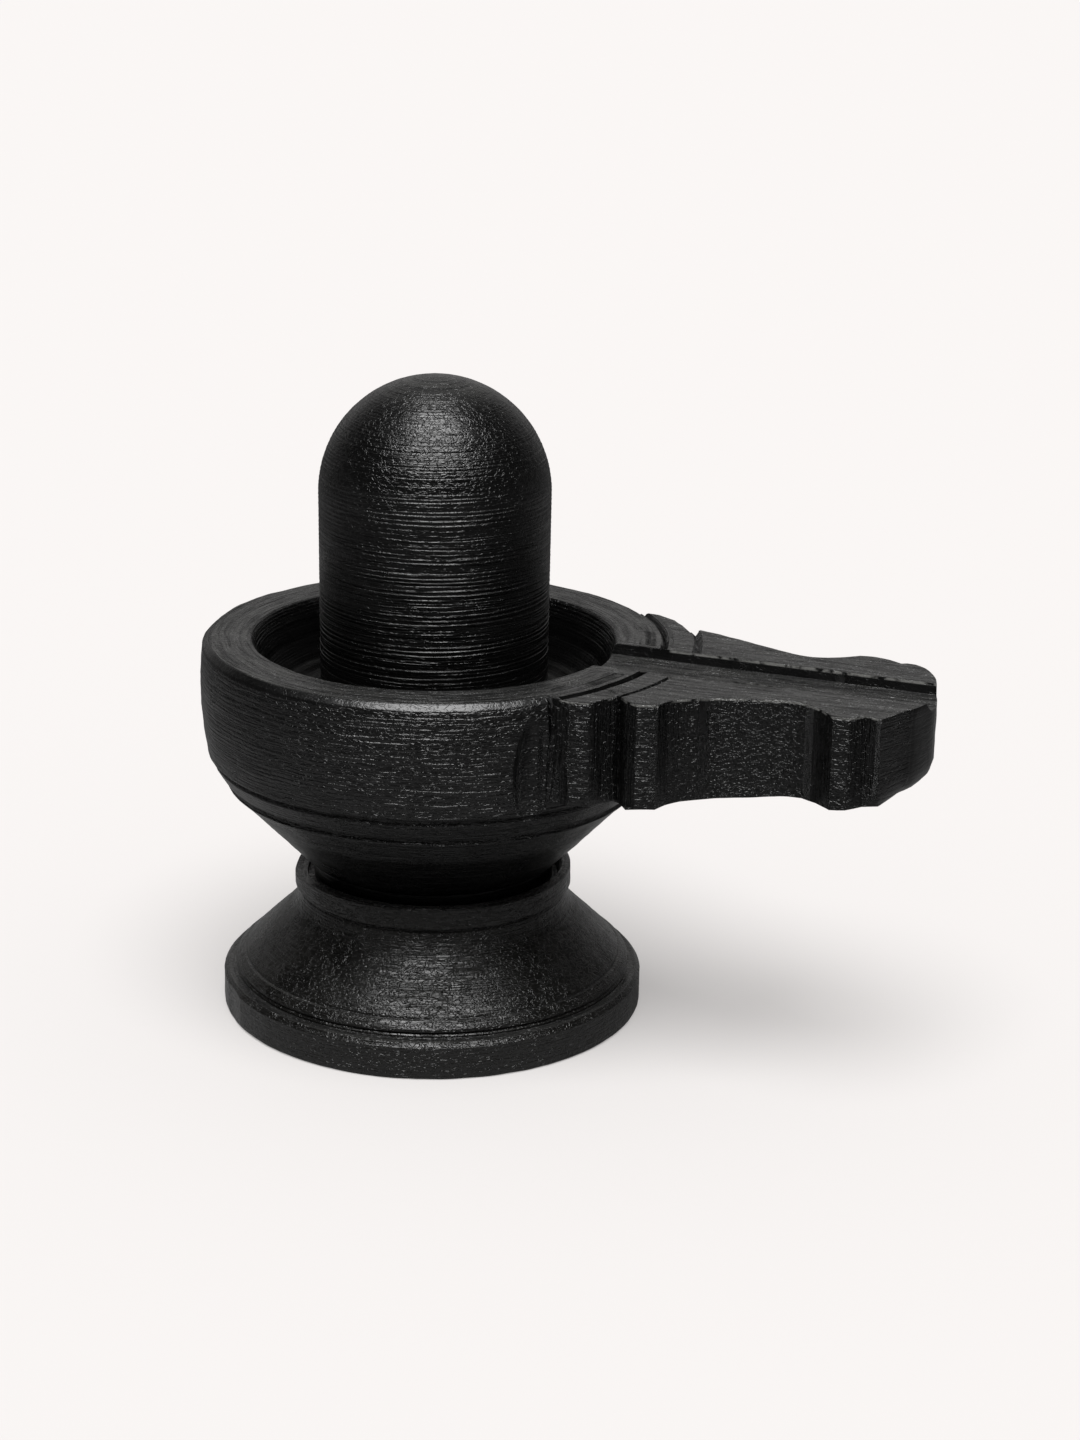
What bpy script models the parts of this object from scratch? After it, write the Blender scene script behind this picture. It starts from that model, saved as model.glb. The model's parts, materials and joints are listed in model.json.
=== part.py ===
"""A small black stone shivling: a lingam standing in a spouted yoni basin on a turned pedestal.

The turning axis is Z, the foot stands on z = 0 and the spout points along +X. Each piece stands on
the one below it, so every height is worked out from the foot upward.
"""
import math

import bmesh
import bpy
from mathutils import Matrix, Vector

# Pedestal, from the foot up
foot_band_height = 0.0075
foot_edge_round = 0.0009
foot_lower_round = 0.0005
foot_ledge = 0.0028
bead_rise = 0.0017
skirt_radius = 0.0438
skirt_slope = 1.045
neck_inset = 0.0002
neck_fillet = 0.0024
neck_land = 0.0002
collar_groove_width = 0.0018
collar_groove_depth = 0.0009
collar_band = 0.0050
collar_wall = 0.0027
collar_edge_round = 0.0004
well_gap = 0.0025
well_depth = 0.0034
socket_depth = 0.0084

# Broken stretch of the collar's top
break_middle = math.radians(202)
break_half_angle = math.radians(33)
break_drop = 0.0026

# Bowl, from the tenon up
tenon_radius = 0.0250
tenon_shoulder = 0.0038
tenon_neck_drop = 0.0036
bowl_gap = 0.0030
cone_slope = 0.9625
ring_groove_depth = 0.0007
ring_groove_width = 0.0009
underside_band_rise = 0.0052
underside_band_inset = 0.0032
wall_foot_inset = 0.0014
wall_height = 0.0260
wall_bulge = 0.0008
rim_radius = 0.0500
rim_width = 0.0105
rim_edge_round = 0.0014
basin_depth = 0.0150

# Lingam
lingam_radius = 0.02495
lingam_taper = 0.00025
lingam_rise = 0.0570
lingam_seat_depth = 0.0030
lingam_foot_chamfer = 0.0004

# Spout
spout_length = 0.0610
shoulder_half_width = 0.0335
shoulder_band = 0.0072
shoulder_step = 0.0056
spout_root_step = 0.0028
spout_tip_step = 0.0073
spout_tip_round = 0.0054
groove_width = 0.0016
groove_depth = 0.0012
notch_depth = 0.0016
notch_lead = math.radians(0.9)

# Drain channel
channel_half_width = 0.0088
channel_tip_half_width = 0.0076
channel_depth = 0.0022
channel_side_slope = 0.0010
channel_offset = 0.0006
channel_overrun = 0.0040

fit_gap = 0.0003
turning_steps = 64
dome_steps = 12
tip_round_steps = 4

# The hollow's curve from the lingam's seat out to the rim, as shares of its reach and its depth
hollow_curve = ((0.18, 0.015), (0.40, 0.08), (0.62, 0.22), (0.80, 0.46), (0.91, 0.74), (0.96, 0.92))

# Stations down the bowl's wall, as shares of its height
wall_stations = (0.12, 0.32, 0.55, 0.78, 0.93)
wall_turn_in = 0.60

# The carved outline seen from above. Each point is a share of the spout's length beyond the rim and
# a share of the shoulder's half width; right is -Y. The first list of each pair is the right side.
shoulder_right = (
    (-0.19, -0.945), (-0.11, -0.985), (-0.05, -0.965), (-0.022, -0.865), (0.011, -0.795),
)
shoulder_left = (
    (0.006, 0.735), (-0.04, 0.85), (-0.085, 0.945), (-0.155, 1.015), (-0.22, 1.03), (-0.228, 0.985),
)
petal_right = (
    (0.023, -0.775), (0.047, -0.835), (0.098, -0.89), (0.164, -0.848), (0.184, -0.755),
)
petal_left = (
    (0.203, 0.675), (0.118, 0.743), (0.038, 0.785), (0.021, 0.71),
)
waist_right = (
    (0.22, -0.68), (0.275, -0.62), (0.33, -0.57), (0.395, -0.527), (0.46, -0.498), (0.52, -0.47),
)
waist_left = (
    (0.587, 0.552), (0.523, 0.49), (0.453, 0.494), (0.37, 0.545), (0.287, 0.605),
)
head_right = (
    (0.565, -0.453), (0.611, -0.466), (0.672, -0.538), (0.733, -0.652), (0.787, -0.64), (0.831, -0.555),
)
head_left = (
    (0.854, 0.585), (0.823, 0.597), (0.803, 0.573), (0.757, 0.615), (0.698, 0.65), (0.648, 0.634),
)
nose_right = (
    (0.887, -0.588), (0.918, -0.472), (0.942, -0.37), (0.966, -0.3), (0.985, -0.19), (1.0, -0.06),
)
nose_left = (
    (0.992, 0.08), (0.975, 0.2), (0.955, 0.33), (0.926, 0.448), (0.892, 0.534),
)
root_share = 0.60
shoulder_root_share = 0.80
shoulder_overlap = (0.05, 0.55)
nose_keel = 0.86

# Sizes that follow
socket_radius = tenon_radius + fit_gap
well_radius = socket_radius + well_gap
collar_radius = well_radius + collar_wall
neck_radius = collar_radius - neck_inset
foot_radius = skirt_radius + foot_ledge
ledge_height = foot_band_height + foot_edge_round
skirt_foot = ledge_height + bead_rise
skirt_top = skirt_foot + (skirt_radius - neck_radius) / skirt_slope
neck_height = skirt_top + neck_fillet + neck_land
collar_foot = neck_height + collar_groove_width
collar_height = collar_foot + collar_band
socket_floor = collar_height - socket_depth

wall_foot_radius = rim_radius - wall_foot_inset
band_radius = wall_foot_radius - underside_band_inset
cone_top_radius = band_radius - 2 * ring_groove_depth
cone_foot_radius = tenon_radius + tenon_shoulder
cone_foot = collar_height + bowl_gap
cone_top = cone_foot + (cone_top_radius - cone_foot_radius) / cone_slope
band_foot = cone_top + 2 * ring_groove_width
wall_foot = band_foot + underside_band_rise
rim_height = wall_foot + wall_height
basin_inner_radius = rim_radius - rim_width
basin_floor = rim_height - basin_depth

lingam_foot_radius = lingam_radius - lingam_taper
lingam_foot = basin_floor - lingam_seat_depth
lingam_height = rim_height + lingam_rise


def start_empty():
    for item in list(bpy.data.objects):
        bpy.data.objects.remove(item, do_unlink=True)


def new_collection(name):
    collection = bpy.data.collections.new(name)
    bpy.context.scene.collection.children.link(collection)
    return collection


def stone(name, colour, roughness):
    material = bpy.data.materials.new(name)
    material.use_nodes = True
    shader = material.node_tree.nodes["Principled BSDF"]
    shader.inputs["Base Color"].default_value = (*colour, 1.0)
    shader.inputs["Roughness"].default_value = roughness
    shader.inputs["Metallic"].default_value = 0.0
    return material


def place(name, mesh, collection):
    item = bpy.data.objects.new(name, mesh)
    collection.objects.link(item)
    return item


def arc(centre, radius, start, end, steps):
    """Points on a circle from angle start to angle end, both included."""
    points = []
    for step in range(steps + 1):
        angle = start + (end - start) * step / steps
        points.append((centre[0] + radius * math.cos(angle), centre[1] + radius * math.sin(angle)))
    return points


def turned(name, profile, collection):
    """Turn a profile of (radius, height) points, given from top to bottom, about Z."""
    mesh = bpy.data.meshes.new(name)
    corners = [(radius, 0.0, height) for radius, height in profile]
    edges = [(index, index + 1) for index in range(len(profile) - 1)]
    mesh.from_pydata(corners, edges, [])
    item = place(name, mesh, collection)
    screw = item.modifiers.new("turning", "SCREW")
    screw.angle = math.tau
    screw.steps = turning_steps
    screw.render_steps = turning_steps
    screw.use_merge_vertices = True
    screw.merge_threshold = 0.00001
    return item


def prism(name, outline, low, high, collection):
    """Extrude a flat outline of (x, y) points between two heights."""
    curve = bpy.data.curves.new(name, "CURVE")
    curve.dimensions = "2D"
    curve.fill_mode = "BOTH"
    curve.extrude = (high - low) / 2
    spline = curve.splines.new("POLY")
    spline.points.add(len(outline) - 1)
    for point, (x, y) in zip(spline.points, outline):
        point.co = (x, y, 0.0, 1.0)
    spline.use_cyclic_u = True
    drawn = place(name + "_outline", curve, collection)
    bpy.context.view_layer.update()
    depsgraph = bpy.context.evaluated_depsgraph_get()
    mesh = bpy.data.meshes.new_from_object(drawn.evaluated_get(depsgraph))
    shape = bmesh.new()
    shape.from_mesh(mesh)
    bmesh.ops.remove_doubles(shape, verts=shape.verts, dist=0.000001)
    bmesh.ops.recalc_face_normals(shape, faces=shape.faces)
    for vertex in shape.verts:
        vertex.co.z = high if vertex.co.z > 0 else low
    shape.to_mesh(mesh)
    shape.free()
    bpy.data.objects.remove(drawn, do_unlink=True)
    return place(name, mesh, collection)


def boolean(target, tool, operation):
    modifier = target.modifiers.new(tool.name, "BOOLEAN")
    modifier.operation = operation
    modifier.solver = "EXACT"
    modifier.object = tool
    tool.hide_render = True
    tool.display_type = "WIRE"


def finish(item, material):
    item.data.materials.append(material)
    item.data.shade_smooth()
    item.data.set_sharp_from_angle(angle=math.radians(30))


def make_lingam(collection):
    centre = lingam_height - lingam_radius
    foot = lingam_foot + fit_gap
    profile = [(0.0, lingam_height)]
    profile += arc((0.0, centre), lingam_radius, math.pi / 2, 0.0, dome_steps)[1:]
    profile += [
        (lingam_foot_radius, foot + lingam_foot_chamfer),
        (lingam_foot_radius - lingam_foot_chamfer, foot),
        (0.0, foot),
    ]
    return turned("lingam", profile, collection)


def hollow_profile():
    """The lingam's seat, the basin's floor and its inner wall, from the middle out to the rim."""
    seat_radius = lingam_foot_radius + fit_gap
    reach = basin_inner_radius - seat_radius
    points = [(0.0, lingam_foot), (seat_radius, lingam_foot), (seat_radius, basin_floor)]
    for out, up in hollow_curve:
        points.append((seat_radius + out * reach, basin_floor + up * basin_depth))
    return points + [(basin_inner_radius, rim_height)]


def wall_profile():
    """The rim's rounded edge and the wall below it, which swells a little and turns in at its foot."""
    edge_centre = (rim_radius - rim_edge_round, rim_height - rim_edge_round)
    points = arc(edge_centre, rim_edge_round, math.pi / 2, 0.0, 4)
    span = wall_height - rim_edge_round
    for share in wall_stations:
        swell = wall_bulge * math.sin(math.pi * min(1.0, share * 1.25 + 0.1))
        turn_in = wall_foot_inset * max(0.0, (share - wall_turn_in) / (1 - wall_turn_in)) ** 2
        points.append((rim_radius + swell - turn_in, edge_centre[1] - share * span))
    return points + [(wall_foot_radius, wall_foot)]


def underside_profile():
    """The sloping band, the ring groove with its bead, the cone and the tenon."""
    depth = ring_groove_depth
    width = ring_groove_width
    tenon_foot = socket_floor + fit_gap
    return [
        (band_radius, band_foot),
        (band_radius - depth, band_foot - 0.5 * width),
        (band_radius - 0.4 * depth, band_foot - 1.2 * width),
        (cone_top_radius + 0.4 * depth, cone_top + 0.3 * width),
        (cone_top_radius, cone_top),
        (cone_foot_radius, cone_foot),
        (tenon_radius, cone_foot - tenon_neck_drop),
        (tenon_radius, tenon_foot),
        (0.0, tenon_foot),
    ]


def spout_point(share):
    along, across = share
    return (rim_radius + along * spout_length, across * shoulder_half_width)


def root_arc(half_width):
    """The outline's inner end, an arc buried in the middle of the bowl's wall, from left to right."""
    radius = (rim_radius + basin_inner_radius) / 2
    limit = math.asin(half_width / radius)
    return arc((0.0, 0.0), radius, limit, -limit, 8)


def make_shoulder(tools):
    """The carved step against the bowl, on both sides of the spout."""
    along, across = shoulder_overlap
    shares = shoulder_right + ((along, -across), (along, across)) + shoulder_left
    outline = [spout_point(share) for share in shares]
    outline += root_arc(shoulder_root_share * shoulder_half_width)
    return prism("shoulder_block", outline, wall_foot + shoulder_step, rim_height, tools)


def make_spout(tools):
    """The long carved part: its underside rises toward the tip, whose lower edge is rounded."""
    shares = petal_right + waist_right + head_right + nose_right
    shares += nose_left + head_left + waist_left + petal_left
    outline = [spout_point(share) for share in shares] + root_arc(root_share * shoulder_half_width)
    low = wall_foot + spout_root_step
    spout = prism("spout_block", outline, low, rim_height, tools)
    shape = bmesh.new()
    shape.from_mesh(spout.data)
    for step in range(tip_round_steps):
        turn = math.pi / 2 * (step + 1) / tip_round_steps
        height = low + spout_tip_round * (1 - math.cos(turn))
        everything = shape.verts[:] + shape.edges[:] + shape.faces[:]
        bmesh.ops.bisect_plane(
            shape, geom=everything, dist=0.0000001, plane_co=(0, 0, height), plane_no=(0, 0, 1)
        )
    keel = Vector((rim_radius + nose_keel * spout_length, 0.0))
    fade = 0.5 * spout_length * (1 - nose_keel)
    for vertex in shape.verts:
        rise = vertex.co.z - low
        lift = max(0.0, (vertex.co.x - rim_radius) / spout_length) * (spout_tip_step - spout_root_step)
        if rise < spout_tip_round and vertex.co.x > keel.x:
            tuck = 1 - math.sqrt(1 - (1 - max(0.0, rise) / spout_tip_round) ** 2)
            inward = (keel - vertex.co.xy).normalized()
            vertex.co.xy += inward * tuck * spout_tip_round * min(1.0, (vertex.co.x - keel.x) / fade)
        vertex.co.z += lift * (1 - rise / (rim_height - low))
    shape.to_mesh(spout.data)
    shape.free()
    return spout


def make_channel(tools):
    """The drain's cutter: a long box, narrower toward the tip and toward its floor."""
    start = (basin_inner_radius + seat_edge()) / 2
    end = rim_radius + spout_length + channel_overrun
    shape = bmesh.new()
    bmesh.ops.create_cube(shape, size=1.0)
    for vertex in shape.verts:
        outer = vertex.co.x > 0
        upper = vertex.co.z > 0
        half = channel_tip_half_width if outer else channel_half_width
        half += channel_side_slope if upper else -channel_side_slope
        vertex.co.x = end if outer else start
        vertex.co.y = math.copysign(half, vertex.co.y) + channel_offset
        vertex.co.z = rim_height + (channel_depth if upper else -channel_depth)
    mesh = bpy.data.meshes.new("channel")
    shape.to_mesh(mesh)
    shape.free()
    return place("channel", mesh, tools)


def seat_edge():
    return lingam_foot_radius + fit_gap


def make_arc_groove(name, radius, start, end, tools):
    """A V-groove on the top face, spun along part of a circle."""
    half = groove_width / 2
    section = [
        (radius, rim_height - groove_depth),
        (radius + half, rim_height),
        (radius + half, rim_height + groove_depth),
        (radius - half, rim_height + groove_depth),
        (radius - half, rim_height),
    ]
    shape = bmesh.new()
    corners = [shape.verts.new((reach, 0.0, height)) for reach, height in section]
    face = shape.faces.new(corners)
    bmesh.ops.rotate(shape, verts=shape.verts, cent=(0, 0, 0), matrix=Matrix.Rotation(start, 3, "Z"))
    turn = end - start
    bmesh.ops.spin(
        shape, geom=[face], cent=(0, 0, 0), axis=(0, 0, 1), angle=turn, steps=12, use_duplicate=False
    )
    bmesh.ops.recalc_face_normals(shape, faces=shape.faces)
    mesh = bpy.data.meshes.new(name)
    shape.to_mesh(mesh)
    shape.free()
    return place(name, mesh, tools)


def make_notch(name, angle, tools):
    """An upright V-cut where the shoulder leaves the bowl's round wall."""
    tip = rim_radius + wall_bulge - notch_depth
    mouth = rim_radius + 2 * notch_depth
    spread = notch_depth / rim_radius
    outline = [
        (tip * math.cos(angle), tip * math.sin(angle)),
        (mouth * math.cos(angle - spread), mouth * math.sin(angle - spread)),
        (mouth * math.cos(angle + spread), mouth * math.sin(angle + spread)),
    ]
    return prism(name, outline, wall_foot, rim_height + notch_depth, tools)


def angle_of(share):
    x, y = spout_point(share)
    return math.atan2(y, x)


def make_basin(collection, tools):
    profile = hollow_profile() + wall_profile() + underside_profile()
    basin = turned("yoni_basin", profile, collection)
    boolean(basin, make_shoulder(tools), "UNION")
    boolean(basin, make_spout(tools), "UNION")
    boolean(basin, make_channel(tools), "DIFFERENCE")
    sides = (
        ("right", -1, angle_of(shoulder_right[0]) - notch_lead, angle_of(shoulder_right[-1])),
        ("left", 1, angle_of(shoulder_left[-1]) + notch_lead, angle_of(shoulder_left[0])),
    )
    for name, side, notch_angle, petal_angle in sides:
        edge = channel_half_width + channel_side_slope + side * channel_offset
        for band, reach, limit in (
            ("inner", rim_radius, notch_angle),
            ("outer", rim_radius + shoulder_band, petal_angle),
        ):
            ends = sorted((side * math.asin(edge / reach), limit))
            tool = make_arc_groove(f"{band}_groove_{name}", reach, *ends, tools)
            boolean(basin, tool, "DIFFERENCE")
        boolean(basin, make_notch("notch_" + name, notch_angle, tools), "DIFFERENCE")
    return basin


def fillet_profile():
    """The curve from the upright neck into the skirt, at the corner where their lines meet."""
    start = (neck_radius, skirt_top + neck_fillet)
    corner = (neck_radius, skirt_top)
    end = (neck_radius + neck_fillet * skirt_slope, skirt_top - neck_fillet)
    points = []
    for step in range(5):
        share = step / 4
        weights = ((1 - share) ** 2, 2 * share * (1 - share), share ** 2)
        radius = sum(weight * point[0] for weight, point in zip(weights, (start, corner, end)))
        height = sum(weight * point[1] for weight, point in zip(weights, (start, corner, end)))
        points.append((radius, height))
    return points


def pedestal_profile():
    well_floor = collar_height - well_depth
    socket = [
        (0.0, socket_floor),
        (socket_radius, socket_floor),
        (socket_radius, well_floor),
        (well_radius, well_floor),
        (well_radius, collar_height),
    ]
    edge = collar_edge_round
    collar = arc((collar_radius - edge, collar_height - edge), edge, math.pi / 2, 0.0, 2)
    collar += [
        (collar_radius, collar_foot),
        (collar_radius - collar_groove_depth, (collar_foot + neck_height) / 2),
        (neck_radius, neck_height),
    ]
    step = bead_rise / 3
    bead = [
        (skirt_radius, skirt_foot),
        (skirt_radius - 0.4 * step, skirt_foot - step),
        (skirt_radius + 0.6 * step, skirt_foot - 1.6 * step),
        (skirt_radius + 0.2 * step, ledge_height + 0.3 * step),
    ]
    band = arc((foot_radius - foot_edge_round, foot_band_height), foot_edge_round, math.pi / 2, 0.0, 3)
    foot = arc((foot_radius - foot_lower_round, foot_lower_round), foot_lower_round, 0.0, -math.pi / 2, 2)
    return socket + collar + fillet_profile() + bead + band + foot + [(0.0, 0.0)]


def make_break(tools):
    """The dip where the collar's top is broken away: a lying cylinder that bites into its edge."""
    half_chord = collar_radius * math.sin(break_half_angle)
    radius = (half_chord ** 2 + break_drop ** 2) / (2 * break_drop)
    bpy.ops.mesh.primitive_cylinder_add(vertices=96, radius=radius, depth=3 * collar_wall)
    tool = bpy.context.object
    tool.name = "collar_break"
    for owner in list(tool.users_collection):
        owner.objects.unlink(tool)
    tools.objects.link(tool)
    middle = collar_radius - collar_wall / 2
    height = collar_height - break_drop + radius
    tool.location = (middle * math.cos(break_middle), middle * math.sin(break_middle), height)
    tool.rotation_euler = (0.0, math.pi / 2, break_middle)
    return tool


def make_pedestal(collection, tools):
    pedestal = turned("pedestal", pedestal_profile(), collection)
    boolean(pedestal, make_break(tools), "DIFFERENCE")
    return pedestal


def main():
    start_empty()
    parts = new_collection("Shivling")
    tools = new_collection("Cutters")
    finish(make_lingam(parts), stone("oiled black stone", (0.030, 0.029, 0.028), 0.34))
    finish(make_basin(parts, tools), stone("turned black stone", (0.035, 0.034, 0.033), 0.40))
    finish(make_pedestal(parts, tools), stone("weathered black stone", (0.040, 0.039, 0.036), 0.46))


main()
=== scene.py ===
"""A small shivling of oiled black stone: a turned lingam in a spouted yoni basin on a turned pedestal.

All three stones are turned about Z, which stands on the floor at z = 0, and the spout points along +X.
Sizes are in millimetres and become metres where they are used.
"""
import json
import math

import bmesh
import bpy
from mathutils import Matrix, Vector, noise

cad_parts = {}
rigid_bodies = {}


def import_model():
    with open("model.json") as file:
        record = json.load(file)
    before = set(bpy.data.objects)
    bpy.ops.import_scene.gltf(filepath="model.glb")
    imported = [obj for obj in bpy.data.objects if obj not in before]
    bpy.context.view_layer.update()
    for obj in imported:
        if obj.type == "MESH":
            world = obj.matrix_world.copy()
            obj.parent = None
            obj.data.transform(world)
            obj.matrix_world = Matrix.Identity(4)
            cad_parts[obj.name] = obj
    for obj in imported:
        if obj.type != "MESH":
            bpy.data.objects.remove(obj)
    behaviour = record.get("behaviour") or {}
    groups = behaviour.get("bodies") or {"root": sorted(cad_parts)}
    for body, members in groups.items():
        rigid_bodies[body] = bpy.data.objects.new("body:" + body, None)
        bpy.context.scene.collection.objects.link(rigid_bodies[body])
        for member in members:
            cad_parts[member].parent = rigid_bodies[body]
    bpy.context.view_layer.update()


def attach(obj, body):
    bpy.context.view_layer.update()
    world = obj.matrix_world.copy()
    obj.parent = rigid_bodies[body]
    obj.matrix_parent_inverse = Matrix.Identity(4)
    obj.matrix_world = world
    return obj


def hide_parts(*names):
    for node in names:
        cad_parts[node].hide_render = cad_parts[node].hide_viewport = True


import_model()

MM = 0.001

# The stones' main heights and radii, in mm
RIM_Z = 84.211
WALL_FOOT_Z = 58.211
BASIN_FLOOR_Z = 69.211
SEAT_Z = 66.211
SPOUT_FOOT_Z = 61.011
LINGAM_TOP_Z = 141.211
LINGAM_R = 24.95
LINGAM_FOOT_R = 24.70
COLLAR_TOP_Z = 32.42
FOOT_R = 46.6


# Modelling by hand: small steps that every piece uses

def nothing_selected():
    for item in bpy.context.view_layer.objects:
        item.select_set(False)


def active(piece):
    nothing_selected()
    piece.select_set(True)
    bpy.context.view_layer.objects.active = piece


def edit(piece):
    active(piece)
    bpy.ops.object.mode_set(mode="EDIT")


def done():
    bpy.ops.object.mode_set(mode="OBJECT")


def apply(piece, kind, **settings):
    """Add one modifier with its settings and apply it."""
    active(piece)
    modifier = piece.modifiers.new(kind.lower(), kind)
    for name, value in settings.items():
        setattr(modifier, name, value)
    bpy.ops.object.modifier_apply(modifier=modifier.name)


def cut(piece, tool, operation="DIFFERENCE"):
    apply(piece, "BOOLEAN", operation=operation, object=tool, solver="EXACT")
    bpy.data.objects.remove(tool, do_unlink=True)


def select_where(piece, test):
    """In edit mode, select the corners whose place, in mm, passes the test."""
    shape = bmesh.from_edit_mesh(piece.data)
    for vertex in shape.verts:
        vertex.select = test(*(vertex.co / MM))
    shape.select_flush_mode()
    bmesh.update_edit_mesh(piece.data)


def stands_on(corner, x, y):
    """Whether a place is right above or below that corner of an outline."""
    return abs(x - corner[0]) < 0.1 and abs(y - corner[1]) < 0.1


def drawn_line(name, points):
    """One corner of a plane is kept and extruded through all the points, given in mm."""
    bpy.ops.mesh.primitive_plane_add(size=MM, location=(0, 0, 0))
    piece = bpy.context.object
    piece.name = name
    piece.data.name = name
    bpy.ops.object.mode_set(mode="EDIT")
    bpy.ops.mesh.select_all(action="SELECT")
    bpy.ops.mesh.merge(type="CENTER")
    before = Vector((0, 0, 0))
    first = True
    for point in points:
        step = (Vector(point) - before) * MM
        if first:
            bpy.ops.transform.translate(value=step)
            first = False
        else:
            bpy.ops.mesh.extrude_region_move(TRANSFORM_OT_translate={"value": step})
        before = Vector(point)
    return piece


def turned(name, profile, steps):
    """A closed turned shape: the profile of (radius, height) is spun once round Z."""
    piece = drawn_line(name, [(radius, 0.0, height) for radius, height in profile])
    bpy.ops.mesh.select_all(action="SELECT")
    bpy.ops.mesh.spin(steps=steps, angle=math.tau, center=(0, 0, 0), axis=(0, 0, 1))
    bpy.ops.mesh.select_all(action="SELECT")
    bpy.ops.mesh.remove_doubles(threshold=0.00001)
    bpy.ops.mesh.normals_make_consistent(inside=False)
    done()
    return piece


def block(name, outline, low, high):
    """A flat outline of (x, y) points made a face and extruded upward from low to high."""
    piece = drawn_line(name, [(x, y, low) for x, y in outline])
    bpy.ops.mesh.select_all(action="SELECT")
    bpy.ops.mesh.edge_face_add()
    bpy.ops.mesh.extrude_region_move(TRANSFORM_OT_translate={"value": (0, 0, (high - low) * MM)})
    bpy.ops.mesh.select_all(action="SELECT")
    bpy.ops.mesh.normals_make_consistent(inside=False)
    done()
    return piece


def soften(piece, test, width, segments=2, sharpness=28, level=None):
    """Round off the sharp edges whose two ends pass the test.

    With level True only the level ones are rounded, and with False only the others.
    """
    edit(piece)
    shape = bmesh.from_edit_mesh(piece.data)
    for element in (*shape.verts, *shape.edges, *shape.faces):
        element.select = False
    for edge in shape.edges:
        sharp = edge.calc_face_angle(0.0) > math.radians(sharpness)
        flat = abs(edge.verts[0].co.z - edge.verts[1].co.z) < 0.05 * MM
        wanted = level is None or level == flat
        if wanted and sharp and all(test(*(end.co / MM)) for end in edge.verts):
            edge.select = True
    bmesh.update_edit_mesh(piece.data)
    bpy.ops.mesh.select_mode(type="EDGE")
    bpy.ops.mesh.bevel(offset=width * MM, segments=segments, affect="EDGES", clamp_overlap=True)
    bpy.ops.mesh.select_mode(type="VERT")
    done()


def split_long(piece, longest, test):
    """Halve the triangles' edges whose ends pass the test until none is longer than that, in mm."""
    edit(piece)
    bpy.ops.mesh.select_mode(type="EDGE")
    most_rounds = 7
    for step in range(most_rounds):
        bpy.ops.mesh.select_all(action="SELECT")
        bpy.ops.mesh.quads_convert_to_tris(quad_method="BEAUTY", ngon_method="BEAUTY")
        shape = bmesh.from_edit_mesh(piece.data)
        for element in (*shape.faces, *shape.verts):
            element.select = False
        for edge in shape.edges:
            long = edge.calc_length() > longest * MM
            edge.select = long and all(test(*(end.co / MM)) for end in edge.verts)
        count = sum(edge.select for edge in shape.edges)
        bmesh.update_edit_mesh(piece.data)
        if count == 0:
            break
        bpy.ops.mesh.subdivide(number_cuts=1)
    bpy.ops.mesh.select_all(action="SELECT")
    bpy.ops.mesh.quads_convert_to_tris(quad_method="BEAUTY", ngon_method="BEAUTY")
    bpy.ops.mesh.select_mode(type="VERT")
    done()


def rounded(corners, gap, plain):
    """Points along a profile of (radius, height, rounding) corners.

    They are no further apart than the gap, but on the runs that plain(start, end) picks.
    """
    steps_round = 6
    line = []
    last = len(corners) - 1
    for index, (r, z, rounding) in enumerate(corners):
        here = Vector((r, z))
        if rounding == 0 or index in (0, last):
            line.append(here)
            continue
        back = (Vector(corners[index - 1][:2]) - here).normalized() * rounding
        onward = (Vector(corners[index + 1][:2]) - here).normalized() * rounding
        for step in range(steps_round + 1):
            share = step / steps_round
            a = here + back * (1 - share)
            b = here + onward * share
            line.append(a.lerp(b, share))
    points = [line[0]]
    for start, end in zip(line, line[1:]):
        pieces = 1 if plain(start, end) else max(1, math.ceil((end - start).length / gap))
        for step in range(1, pieces + 1):
            points.append(start.lerp(end, step / pieces))
    return points


def ringed(points, depth):
    """Turning rings: each point moves across the profile by depth(length along it, radius, height)."""
    result = []
    run = 0.0
    for index, here in enumerate(points):
        before = points[max(0, index - 1)]
        after = points[min(len(points) - 1, index + 1)]
        run += (here - before).length
        along = (after - before).normalized()
        across = Vector((along.y, -along.x))
        moved = here + across * depth(run, here.x, here.y)
        result.append((max(0.0, moved.x) if here.x > 0.01 else 0.0, moved.y))
    return result


def chatter(run, pitch, seed):
    """A turning tool's trail: steady rings whose depth and spacing wander a little."""
    wander = noise.noise(Vector((run / (4 * pitch), seed, 0.0)))
    fine = noise.noise(Vector((run / (0.8 * pitch), seed + 7.3, 0.0)))
    return 0.5 * math.sin(math.tau * run / pitch + 2.5 * wander) + 0.9 * fine


def smooth_run(points, pieces):
    """A curve through the points, each gap cut into that many pieces."""
    result = [points[0]]
    last = len(points) - 1
    for index in range(last):
        a, b, c, d = [Vector(points[max(0, min(last, index + k))]) for k in (-1, 0, 1, 2)]
        for step in range(1, pieces + 1):
            t = step / pieces
            bend = 2 * a - 5 * b + 4 * c - d
            twist = 3 * b - a - 3 * c + d
            result.append(tuple(0.5 * (2 * b + (c - a) * t + bend * t * t + twist * t ** 3)))
    return result


def uneven(piece, size, strength):
    """The slight unevenness of hand work, from a soft cloud pattern of that size, in mm."""
    cloud = bpy.data.textures.new("unevenness", "CLOUDS")
    cloud.noise_scale = size * MM
    cloud.noise_depth = 2
    apply(piece, "DISPLACE", texture=cloud, strength=strength * MM, mid_level=0.5, texture_coords="LOCAL")
    bpy.data.textures.remove(cloud)


# Materials

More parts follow.
